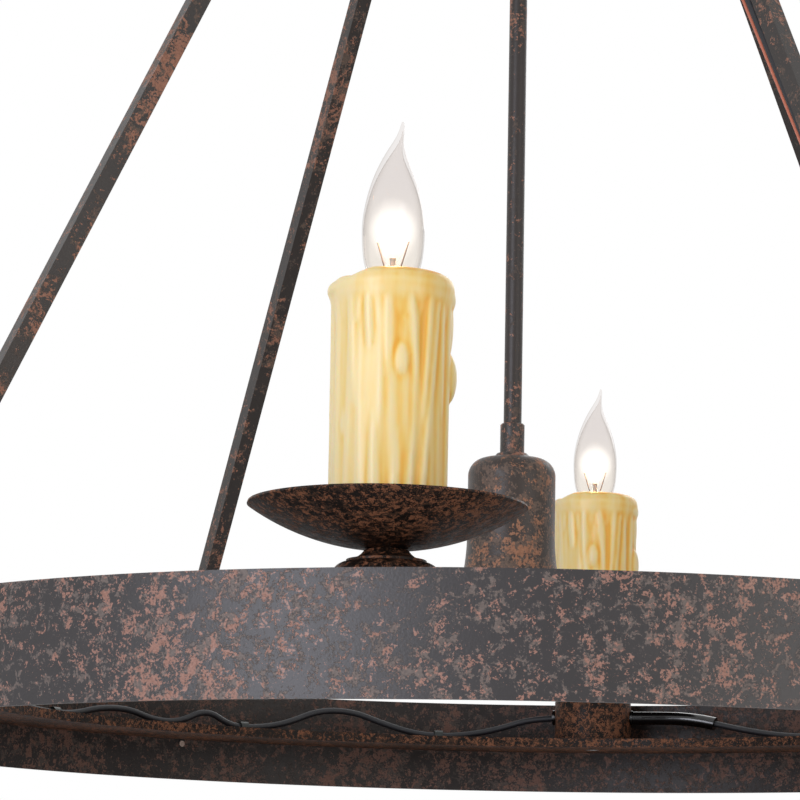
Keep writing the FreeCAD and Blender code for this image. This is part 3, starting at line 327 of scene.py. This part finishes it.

# %% [markdown]
# ## Glass and glowing wire
# The lamps are thin clear glass, tinted a little greyer at the top and creamier lower down. Such thin
# glass hardly bends light, so it is a clear tint with a reflection on its outer skin.
# Inside, a glass stem holds two brown support wires and the coil between them. A lit coil looks like
# a soft white ball, and the glass around it shows that glare where it faces the eye.

# %% Glass, and the wire inside it
def blown_glass(name, low, high, low_colour, high_colour, edge_colour, dimple_mm, relief_mm,
                glare_height=None):
    """Thin clear glass. Its tint changes between two heights, and it looks deeper where it is edge on."""
    material, tree = new_material(name)
    place = add(tree, "TexCoord").outputs["Object"]
    height = add(tree, "SeparateXYZ", {0: place}).outputs["Z"]
    share = add(tree, "MapRange", {"Value": height, "From Min": above_band(low),
                                   "From Max": above_band(high)})
    tint = add(tree, "ValToRGB", {"Fac": share.outputs[0]}, stops=((0.0, low_colour), (1.0, high_colour)))
    dimples = add(tree, "TexNoise", {"Vector": place, "Scale": 1 / (dimple_mm * mm), "Detail": 1.0,
                                     "Roughness": 0.7})
    relief = add(tree, "Bump", {"Height": dimples.outputs["Fac"], "Strength": 0.3,
                                "Distance": relief_mm * mm})
    edge = add(tree, "LayerWeight", {"Blend": 0.5, "Normal": relief.outputs[0]}).outputs["Facing"]
    depth = add(tree, "MapRange", {"Value": edge, "From Min": 0.35})
    tint = add(tree, "Mix", {mix_share: depth.outputs[0], mix_first: tint.outputs["Color"],
                             mix_second: linear(edge_colour)}, data_type="RGBA")
    clear = add(tree, "BsdfTransparent", {"Color": tint.outputs[mixed_colour]})
    shine = add(tree, "BsdfGlossy", {"Color": linear("#DCDCDC"), "Roughness": 0.05,
                                     "Normal": relief.outputs[0]})
    # only the side that faces the eye reflects, or light would be caught between the two skins
    bounce = add(tree, "Fresnel", {"IOR": 1.3, "Normal": relief.outputs[0]})
    back = add(tree, "NewGeometry").outputs["Backfacing"]
    front = add(tree, "Math", {0: 1.0, 1: back}, operation="SUBTRACT")
    bounce = add(tree, "Math", {0: bounce.outputs[0], 1: front.outputs[0]}, operation="MULTIPLY")
    glass = add(tree, "MixShader", {0: bounce.outputs[0], 1: clear.outputs[0], 2: shine.outputs[0]})
    if glare_height:
        # the glare fades with the distance from its height and towards the edge of the glass
        off = add(tree, "Math", {0: height, 1: above_band(glare_height)}, operation="SUBTRACT").outputs[0]
        tall = add(tree, "Math", {0: off, 1: off}, operation="MULTIPLY")
        wide = add(tree, "Math", {0: edge, 1: 2.0}, operation="MULTIPLY")
        spread = add(tree, "Math", {0: tall.outputs[0], 1: (17 * mm) ** -2, 2: wide.outputs[0]},
                     operation="MULTIPLY_ADD")
        glow = add(tree, "MapRange", {"Value": spread.outputs[0], "To Min": 0.15, "To Max": 0.0},
                   interpolation_type="SMOOTHSTEP")
        glare = add(tree, "Emission", {"Color": linear("#FFFBF4"), "Strength": glow.outputs[0]})
        glass = add(tree, "AddShader", {0: glass.outputs[0], 1: glare.outputs[0]})
    add(tree, "OutputMaterial", {"Surface": glass.outputs[0]})
    return material


def lamp_wire(name, axis):
    """Pale glass stem at the lamp's axis, brown wires beside it and a glowing wire on top."""
    material, tree = new_material(name)
    place = add(tree, "TexCoord").outputs["Object"]
    centred = add(tree, "Mapping", {"Vector": place, "Location": -axis})
    flat = add(tree, "Mapping", {"Vector": centred.outputs[0], "Scale": (1, 1, 0)})
    radius = add(tree, "VectorMath", {0: flat.outputs[0]}, operation="LENGTH")
    height = add(tree, "SeparateXYZ", {0: place})
    on_wire = add(tree, "MapRange", {"Value": radius.outputs["Value"], "From Min": 1.9 * mm,
                                     "From Max": 2.1 * mm})
    hot = add(tree, "MapRange", {"Value": height.outputs["Z"], "From Min": above_band(232.5),
                                 "From Max": above_band(234), "To Max": 4.0})
    tone = add(tree, "ValToRGB", {"Fac": on_wire.outputs[0]}, stops=((0.0, "#CFC8C2"), (1.0, "#8A776A")))
    skin = add(tree, "BsdfPrincipled", {"Base Color": tone.outputs["Color"], "Roughness": 0.3,
                                        "Emission Color": linear("#FFE9C4"),
                                        "Emission Strength": hot.outputs[0]})
    add(tree, "OutputMaterial", {"Surface": skin.outputs[0]})
    return material


lamp_glass = blown_glass("clear_lamp_glass", 215, 262, "#FCFAF7", "#F8F6F5", "#EFECEA", 30, 0.02,
                         glare_height=239)
lens_glass = blown_glass("dimpled_lens_glass", 60, 90, "#F6F5F3", "#F3F3F1", "#E8E8E6", 3, 0.3)
wires = {f"bulb_filament_{index + 1}": lamp_wire(f"lamp_wire_{index + 1}",
                                                 around(90 * index, candle_circle, drop))
         for index in range(4)}
print("mixed", lamp_glass.name, lens_glass.name, "and wire for", len(wires), "lamps")

# %% [markdown]
# ## Finish the ready pieces
# The construction model names a material for each piece, and that name picks the finish here. A few
# pieces differ from their neighbours of the same paint, so they are picked by their own name.

# %% Give the ready pieces their finishes
finish_of_slot = {"bronze_paint": bronze, "bare_steel": zinc, "screw_steel": screw_zinc,
                  "socket_phenolic": phenolic, "lamp_base_metal": nickel, "reflector_glass": reflector,
                  "cord_jacket": jacket, "lamp_glass": lamp_glass, "lens_glass": lens_glass,
                  "ground_jacket": salmon_jacket, "sleeve_vinyl": vinyl, "tie_nylon": tie_plastic,
                  "bushing_nylon": bush_plastic}
finish_of_node = dict(wires)
finish_of_node.update({"outer_band": band_bronze, "ledge_ring": shaded_pan_bronze, "cup_caps": shaded_pan_bronze,
                       "bell_shade": bell_bronze, "stem_tube": stem_bronze})
for index in range(4):
    finish_of_node[f"drip_pan_{index + 1}"] = shaded_pan_bronze
    finish_of_node[f"candle_cup_{index + 1}"] = shaded_pan_bronze
slot_of_node = {part["node"]: part["material_slot"] for part in frame["record"]["subparts"]}
painted = 0
for name, node in frame["nodes"].items():
    finish = finish_of_node.get(name, finish_of_slot.get(slot_of_node[name]))
    if finish:
        node.data.materials.clear()
        node.data.materials.append(finish)
        painted += 1
print(painted, "pieces painted")

# %% [markdown]
# ## Wax runs of the candle covers
# Each cover is cast in resin from a mould of a real candle, so wax runs of every length lie side by
# side all round it, some end in a drop, and a knot of wax sits on one side. It could be painted on a
# plain tube, but runs have real depth that catches the light. The first tool turns a bare candle from
# an outline: one point is pushed along the outline, and the line is spun about the upright axis.

# %% Turn an outline
def turned(name, outline, steps):
    """Turns a closed outline of (radius, height) points in mm about the Z axis."""
    bpy.ops.object.select_all(action="DESELECT")
    bpy.ops.mesh.primitive_plane_add(size=mm)
    piece = bpy.context.object
    piece.name = name
    bpy.ops.object.mode_set(mode="EDIT")
    bpy.ops.mesh.select_all(action="SELECT")
    bpy.ops.mesh.merge(type="CENTER")
    bpy.ops.transform.translate(value=(outline[0][0] * mm, 0, outline[0][1] * mm))
    for here, after in zip(outline, outline[1:]):
        step = ((after[0] - here[0]) * mm, 0, (after[1] - here[1]) * mm)
        bpy.ops.mesh.extrude_vertices_move(TRANSFORM_OT_translate={"value": step})
    bpy.ops.mesh.select_all(action="DESELECT")
    bpy.ops.object.mode_set(mode="OBJECT")
    for index in (0, len(outline) - 1):
        piece.data.vertices[index].select = True
    bpy.ops.object.mode_set(mode="EDIT")
    bpy.ops.mesh.edge_face_add()
    bpy.ops.mesh.select_all(action="SELECT")
    bpy.ops.mesh.spin(steps=steps, angle=math.tau, center=(0, 0, 0), axis=(0, 0, 1))
    bpy.ops.mesh.select_all(action="SELECT")
    bpy.ops.mesh.remove_doubles(threshold=0.01 * mm)
    bpy.ops.mesh.normals_make_consistent(inside=False)
    bpy.ops.object.mode_set(mode="OBJECT")
    return piece


# radii and heights in mm: up the side, over the flared rim and down into the lamp's hole
candle_outline = ((26, 81.7), (29.2, 81.7), (29.1, 150), (29.4, 188), (30.2, 197), (31.3, 203), (31.6, 208),
                  (30.6, 211.8), (27.6, 214.2), (23, 215.2), (18, 215.4), (18, 211), (26, 208))
parts = [turned("wax_cover", candle_outline, 96)]
print("a bare candle with", len(parts[0].data.polygons), "faces")

# %% [markdown]
# ## The runs that show
# A run is a path down the candle's side, whose thickness changes on its way. The front ones are set
# one by one, as on the cast: some start at the rim, and some come out of the side lower down. Lumps are
# the knot, the bulges of the side and the swellings of the rim. Heights are above the band's lower
# edge, and azimuth 0 is the side that the near candle shows.

# %% Shape of the runs
candle_foot = 84
rim_start = 190
# azimuth at the top, half way and at the end; height of top and end; thickness of top and end
front_runs = (
    (-64, -63, -62, 208, 84, 3.0, 3.0), (-43, -41, -38, 209, 134, 3.6, 4.2),
    (-53, -52, -52, 150, 127, 2.2, 3.2), (-24, -22, -21, 210, 166, 3.4, 4.4),
    (-13, -12, -11, 210, 176, 2.4, 2.6), (-3, -5, 0, 210, 150, 3.0, 3.4),
    (-17, -16, -13, 160, 84, 3.4, 4.8), (15, 29, 25, 209, 146, 3.6, 3.4),
    (25, 24, 18, 164, 84, 3.0, 3.4), (8, 5, 6, 150, 84, 2.8, 3.4),
    (41, 42, 32, 208, 126, 3.8, 2.8), (58, 62, 61, 204, 131, 2.2, 3.2),
    (52, 45, 31, 208, 84, 2.6, 3.2), (75, 76, 74, 209, 84, 3.4, 4.0),
    (34, 38, 42, 122, 84, 2.4, 2.8), (-82, -84, -82, 209, 84, 3.2, 2.8),
    (-33, -34, -35, 208, 180, 2.6, 3.0), (-72, -70, -72, 150, 98, 2.2, 3.0))
# azimuth, radius and height of a lump's middle, and its size outwards, sideways and upwards
lumps = (
    (11, 28.4, 167.5, (2.5, 4.0, 9.5)), (94, 26.0, 203.0, (6.2, 13.0, 8.0)),
    (92, 27.0, 190.0, (4.2, 10.0, 20.0)), (88, 28.6, 163.0, (4.8, 6.0, 13.0)),
    (-80, 26.2, 206.0, (6.6, 13.0, 5.2)), (-60, 26.4, 207.0, (5.4, 10.0, 5.0)),
    (30, 26.0, 207.5, (5.6, 9.0, 5.4)), (170, 24.6, 203.5, (7.6, 12.0, 8.5)),
    (225, 26.4, 207.5, (5.8, 10.0, 5.5)))


def core_radius(height):
    """Radius of the bare candle at a height, as a run needs it."""
    return 29.1 if height < rim_start else 29.9


def on_candle(azimuth, radius, height):
    """A point on the candle that is being made, whose axis is the Z axis."""
    angle = math.radians(azimuth)
    return Vector((radius * math.sin(angle) * mm, -radius * math.cos(angle) * mm, height * mm))


def wax_run(first, half, last, top, end, top_r, end_r, sunk=0.6):
    """One run of wax, a tapered tube sunk into the candle's side."""
    bpy.ops.curve.primitive_nurbs_path_add()
    run = bpy.context.object
    for point, share in zip(run.data.splines[0].points, (0.0, 0.3, 0.62, 0.93, 1.0)):
        thick = top_r + (end_r - top_r) * share
        azimuth = (1 - share) ** 2 * first + 2 * share * (1 - share) * half + share ** 2 * last
        height = top + (end - top) * share
        point.co = on_candle(azimuth, core_radius(height) - sunk * thick, height).to_4d()
        rounded = share == 1 and end > candle_foot
        tapered = share == 0 and top < rim_start
        point.radius = 0.5 if rounded or tapered else thick
    run.data.bevel_depth = mm
    run.data.bevel_resolution = 3
    run.data.resolution_u = 8
    run.data.use_fill_caps = True
    bpy.ops.object.convert(target="MESH")
    return bpy.context.object


print(len(front_runs), "runs in front, and", len(lumps), "lumps")

# %% [markdown]
# ## The runs that chance places
# Behind and between the set ones, wax ran as it liked. A fixed seed draws the same runs each time:
# fine ones all round, which lie deep in the side, and bolder ones on the back.

# %% Fine runs all round, and a few bold ones on the back
chance = random.Random(11)
fine_runs = []
for index in range(24):
    azimuth = index * 15 + chance.uniform(-4, 4)
    half = azimuth + chance.uniform(-5, 5)
    last = azimuth + chance.uniform(-7, 7)
    thick, end_thick = chance.uniform(2.8, 4.2), chance.uniform(3.0, 4.6)
    fine_runs.append((azimuth, half, last, 209, candle_foot, thick, end_thick, 0.86))
back_runs = []
for index in range(13):
    azimuth = 104 + index * 13 + chance.uniform(-3, 3)
    top = chance.choice((209, 209, 208, 168, 150))
    end = candle_foot if chance.random() < 0.35 else chance.uniform(90, top - 26)
    thick = chance.uniform(2.4, 3.4)
    half = azimuth + chance.uniform(-4, 4)
    last = azimuth + chance.uniform(-5, 5)
    back_runs.append((azimuth, half, last, top, end, thick, thick * chance.uniform(1.0, 1.35)))
print(len(front_runs) + len(fine_runs) + len(back_runs), "wax runs")

# %% [markdown]
# ## One skin
# The candle's top burnt down aslant, so a plane cuts a slice off one side of it. All the parts are
# then joined, a voxel remesh melts them into one skin, and the skin is smoothed until the seams
# between the runs are soft.

# %% Melt the runs into one cover
bpy.ops.object.mode_set(mode="EDIT")
bpy.ops.mesh.select_all(action="SELECT")
low_rim = on_candle(-80, 32.0, 207)
high_rim = on_candle(-80, 12, 215.3)
away = (high_rim - low_rim).cross(on_candle(10, 1, 0) - on_candle(0, 0, 0)).normalized()
bpy.ops.mesh.bisect(plane_co=low_rim, plane_no=away if away.z > 0 else -away, use_fill=True, clear_outer=True)
# the cut face has many corners, and is split here, so that every run of this lesson melts it alike
bpy.ops.mesh.select_all(action="SELECT")
bpy.ops.mesh.quads_convert_to_tris(quad_method="FIXED", ngon_method="BEAUTY")
bpy.ops.object.mode_set(mode="OBJECT")
parts += [wax_run(*run) for run in list(front_runs) + fine_runs + back_runs]
for azimuth, radius, height, (outwards, sideways, upwards) in lumps:
    bpy.ops.mesh.primitive_uv_sphere_add(segments=24, ring_count=14, radius=mm)
    lump = bpy.context.object
    lump.scale = (sideways, outwards, upwards)
    lump.rotation_euler = (0, 0, math.radians(azimuth))
    lump.location = on_candle(azimuth, radius, height)
    bpy.ops.object.transform_apply()
    parts.append(lump)
bpy.ops.object.select_all(action="DESELECT")
for piece in parts:
    piece.select_set(True)
bpy.context.view_layer.objects.active = parts[0]
bpy.ops.object.join()
cover = bpy.context.object
melt = cover.modifiers.new("melt", "REMESH")
melt.mode = "VOXEL"
melt.voxel_size = 1.0 * mm
bpy.ops.object.modifier_apply(modifier="melt")
smooth = cover.modifiers.new("smooth", "SMOOTH")
smooth.factor = 0.6
smooth.iterations = 6
bpy.ops.object.modifier_apply(modifier="smooth")
bpy.ops.object.shade_smooth()
print("one cover has", len(cover.data.polygons), "faces")

# %% [markdown]
# ## How deep each crease is
# In the cast, an amber stain settles in the creases and is wiped off the ridges. To know the creases, a
# copy of the cover is blurred, and each point notes how far it stands out from the blurred skin, less a
# painted shade that darkens one side of the cover. The material then reads that attribute.

# %% Note the creases
bpy.ops.object.duplicate()
blurred = bpy.context.object
blur = blurred.modifiers.new("blur", "SMOOTH")
blur.factor = 0.8
blur.iterations = 26
bpy.ops.object.modifier_apply(modifier="blur")
crease = cover.data.attributes.new("ridge_and_side_shade", "FLOAT", "POINT")
shaded_side_azimuth = math.radians(50)
for point, soft_point, noted in zip(cover.data.vertices, blurred.data.vertices, crease.data):
    # painted shade: one side of each cover is darker amber, so the creases are darker there
    facing = point.co.x * math.sin(shaded_side_azimuth) - point.co.y * math.cos(shaded_side_azimuth)
    side_shade = 0.19 * facing / point.co.xy.length
    noted.value = (point.co.xy.length - soft_point.co.xy.length) / mm - side_shade
bpy.data.objects.remove(blurred)
print("noted the depth of", len(crease.data), "points")

# %% [markdown]
# ## Cast resin
# The covers are cast polyester resin: satin, and a little light sinks in and comes out warmer. Amber
# stain fills the creases, and the rim is painted a warmer yellow, as painted glow of the lamp above it.

# %% Cast candle resin
resin, tree = new_material("cast_candle_resin")
place = add(tree, "TexCoord").outputs["Object"]
ridge_and_side_shade = add(tree, "Attribute", attribute_name="ridge_and_side_shade")
long = add(tree, "Mapping", {"Vector": place, "Scale": (1, 1, 0.12)})
streak = add(tree, "TexNoise", {"Vector": long.outputs[0], "Scale": 1 / (7 * mm), "Detail": 3.0})
lifted = add(tree, "Math", {0: streak.outputs["Fac"], 1: 0.5, 2: ridge_and_side_shade.outputs["Fac"]},
             operation="MULTIPLY_ADD")
height = add(tree, "SeparateXYZ", {0: place})
# painted glow: the top of the cover is shifted to a warmer yellow, standing in for the lamp's light on it
rim = add(tree, "MapRange", {"Value": height.outputs["Z"], "From Min": above_band(202),
                             "From Max": above_band(214), "To Max": -0.26})
lifted = add(tree, "Math", {0: lifted.outputs[0], 1: rim.outputs[0]})
share = add(tree, "MapRange", {"Value": lifted.outputs[0], "From Min": -0.08, "From Max": 0.72})
tone = add(tree, "ValToRGB", {"Fac": share.outputs[0]},
           stops=((0.0, "#F4B63E"), (0.14, "#F8CC68"), (0.30, "#FADA8C"), (0.56, "#FCE3AA")))
pores = add(tree, "TexNoise", {"Vector": place, "Scale": 1 / (1.6 * mm), "Detail": 3.0})
gloss = add(tree, "MapRange", {"Value": pores.outputs["Fac"], "To Min": 0.30, "To Max": 0.44})
relief = add(tree, "Bump", {"Height": pores.outputs["Fac"], "Strength": 0.15, "Distance": 0.15 * mm})
skin = add(tree, "BsdfPrincipled", {"Base Color": tone.outputs["Color"], "Roughness": gloss.outputs[0],
                                    "Normal": relief.outputs[0], "Subsurface Weight": 0.5,
                                    "Subsurface Radius": (1.0, 0.6, 0.3), "Subsurface Scale": 4 * mm})
add(tree, "OutputMaterial", {"Surface": skin.outputs[0]})
cover.data.materials.append(resin)
print("mixed", resin.name)

# %% [markdown]
# ## Four covers
# All four come from the one mould, each turned its own way, and each takes the place of the plain tube
# of the construction model.

# %% Stand a cover at each candle
cover_turns = (11.9, 97.0, -4.4, 214.0)
for index, cover_turn in enumerate(cover_turns):
    copy = cover.copy()
    copy.data = cover.data.copy()
    copy.name = f"wax_cover_{index + 1}"
    bpy.context.scene.collection.objects.link(copy)
    stand_here = around(90 * index, candle_circle, 0)
    copy.data.transform(Matrix.Translation(stand_here) @ Matrix.Rotation(math.radians(cover_turn), 4, "Z"))
    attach(copy, "frame")
    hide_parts(f"candle_cover_{index + 1}")
bpy.data.objects.remove(cover)
print("four covers stand on their pans")

# %% [markdown]
# ## Cords
# Dull black cord runs from the hub down one bar, along the ledge and into each cup. Between two clips
# it lies slack and rises in low waves. A cord is one smooth line, so each is a NURBS curve through
# few points, with a round section. First come the places it passes: beside the slanted bar, through a
# cup's side holes and along the ledge.

# %% Places along the bar and the ledge
cord_size, wire_size = 2.2, 1.1
ledge_bottom, ledge_top = 28.575, 34.925
cord_rest = ledge_top + cord_size + 0.15
cup_hole = ledge_top + 17
bar_foot_r, bar_low, bar_high, bar_slope, bar_half = 411.85, 65.8, 852.22, 0.4888, 5.25
bar_tilt = math.atan(bar_slope)


def beside_bar(share, below, sideways):
    """Point under the slanted bar, at a share of its run, a distance below its axis and sideways."""
    height = bar_low + share * (bar_high - bar_low)
    radius = bar_foot_r - (height - bar_low) * bar_slope - below * math.cos(bar_tilt)
    point = Vector((sideways * mm, -radius * mm, above_band(height - below * math.sin(bar_tilt))))
    return Matrix.Rotation(math.radians(45), 4, "Z") @ point


def through_cup(azimuth, along):
    """Point on the line through a cup's side holes."""
    point = Vector((along * mm, -candle_circle * mm, above_band(cup_hole)))
    return Matrix.Rotation(math.radians(azimuth), 4, "Z") @ point


def beside_circle(azimuth, outward, rise):
    """Point near the candle circle, with its distance outwards and above the cord's rest on the ledge."""
    return around(azimuth, candle_circle + outward, cord_rest + rise)


def run_cord(name, points, radius, finish, node):
    """A smooth round cord along its points, in place of a piece of the construction model."""
    bpy.ops.curve.primitive_nurbs_path_add()
    cord = bpy.context.object
    cord.name = name
    spline = cord.data.splines[0]
    spline.points.add(len(points) - len(spline.points))
    for control, point in zip(spline.points, points):
        control.co = point.to_4d()
    spline.order_u = 3
    spline.use_endpoint_u = True
    cord.data.bevel_depth = radius * mm
    cord.data.bevel_resolution = 4
    cord.data.resolution_u = 10
    cord.data.use_fill_caps = True
    bpy.ops.object.convert(target="MESH")
    bpy.ops.object.shade_smooth()
    cord = bpy.context.object
    cord.data.materials.append(finish)
    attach(cord, "frame")
    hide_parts(node)


print("a cord rests", round(cord_rest - ledge_top, 2), "mm above the ledge")

# %% [markdown]
# ## Ring cords
# Three alike cords join the four cups. Each leaves a cup straight, dips to its clips, rises between
# them and enters the next cup straight again. The waves of the three differ a little in height.

# %% Ring cords between the cups
# distances from a cup's axis in mm: the cord's end inside it, and where the straight ends stop
inside_cup, straight_out, straight_in = 11.7, 43.0, 72.0
# degrees past the first cup, distance outwards from the candle circle, and rise above the ledge
ring_route = ((11.0, 4.75, 5.0), (15.3, 3.75, 0.1), (19.4, 2.25, 0.1), (23.4, 3.25, 7.0), (27.0, 4.25, 15.6),
              (31.0, 3.25, 15.4), (34.8, 1.25, 4.6), (38.6, -0.25, 0.1), (41.8, -0.75, 0.2),
              (44.9, -1.25, 11.2), (48.3, -0.75, 0.4), (51.6, 0.25, 1.0), (54.8, 1.25, 7.2),
              (58.6, 2.25, 6.6), (62.4, 3.75, 0.1), (67.4, 5.25, 0.1), (73.0, 7.15, 6.6))
for index, rise_share in enumerate((0.85, 1.0, 1.1)):
    start = 90 * (index + 1)
    points = [through_cup(start, inside_cup), through_cup(start, straight_out)]
    points += [beside_circle(start + past, outward, rise * rise_share) for past, outward, rise in ring_route]
    points += [through_cup(start + 90, -straight_in), through_cup(start + 90, -inside_cup)]
    run_cord(f"ring_cord_{index + 1}", points, cord_size, jacket, "ring_cords")
print("three ring cords with", len(points), "points each")

# %% [markdown]
# ## Supply cord and ground wire
# The supply cord comes out of the hub, lies under one bar and sags a little between its ties. Then it
# drops over the ledge and runs to the nearest cup. A thin salmon ground wire lies under it on the bar
# and ends at the ledge.

# %% Supply cord and ground wire
hub_bottom = 846.22
# share of the bar's run, gap below the bar and distance sideways
bar_route = ((0.946, 0.3, 0.0), (0.883, 0.4, 0.6), (0.730, 0.3, -0.8), (0.578, 0.3, 0.4), (0.514, 0.4, -1.0),
             (0.477, 0.6, -4.4), (0.431, 0.5, -3.0), (0.298, 0.3, 0.6), (0.145, 0.4, -0.5), (0.059, 1.2, 0.0))
# degrees past the bar, distance outwards from the candle circle, and rise above the ledge
ledge_route = ((0.6, 20.75, 47.0), (2.2, 23.75, 20.0), (5.6, 18.75, 3.0), (10.6, 11.75, 0.2),
               (16.2, 7.75, 0.1), (22.4, 6.95, 0.1), (28.0, 7.35, 6.0))
points = [around(45, 14.6, hub_bottom + 14), around(45, 15.0, hub_bottom - 12)]
points += [beside_bar(share, bar_half + gap + cord_size, sideways) for share, gap, sideways in bar_route]
points += [beside_circle(45 + past, outward, rise) for past, outward, rise in ledge_route]
points += [through_cup(90, -straight_in), through_cup(90, -inside_cup)]
run_cord("supply_cord_run", points, cord_size, jacket, "supply_cord")

points = [around(45, 9.6, hub_bottom + 14), around(45, 9.9, hub_bottom - 16)]
for share, gap, sideways in bar_route:
    points.append(beside_bar(share, bar_half + gap + 2 * cord_size + 0.3 + wire_size, sideways))
points += [around(46.6, 385.0, ledge_top + 32), around(46.6, 386.0, ledge_bottom + 0.5)]
run_cord("ground_wire_run", points, wire_size, salmon_jacket, "ground_wire")
print("one supply cord and one ground wire")

# %% [markdown]
# ## Light of the lamps
# A small warm light inside each lamp tints the rim of its candle.

# %% A light at each coil
for index in range(4):
    bpy.ops.object.light_add(type="POINT", location=around(90 * index, candle_circle, 237.5))
    glow = bpy.context.object
    glow.name = f"coil_light_{index + 1}"
    glow.data.energy = 0.05
    glow.data.color = linear("#FFCF8F")[:3]
    glow.data.shadow_soft_size = 6 * mm
    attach(glow, "frame")
print("four lamps glow")
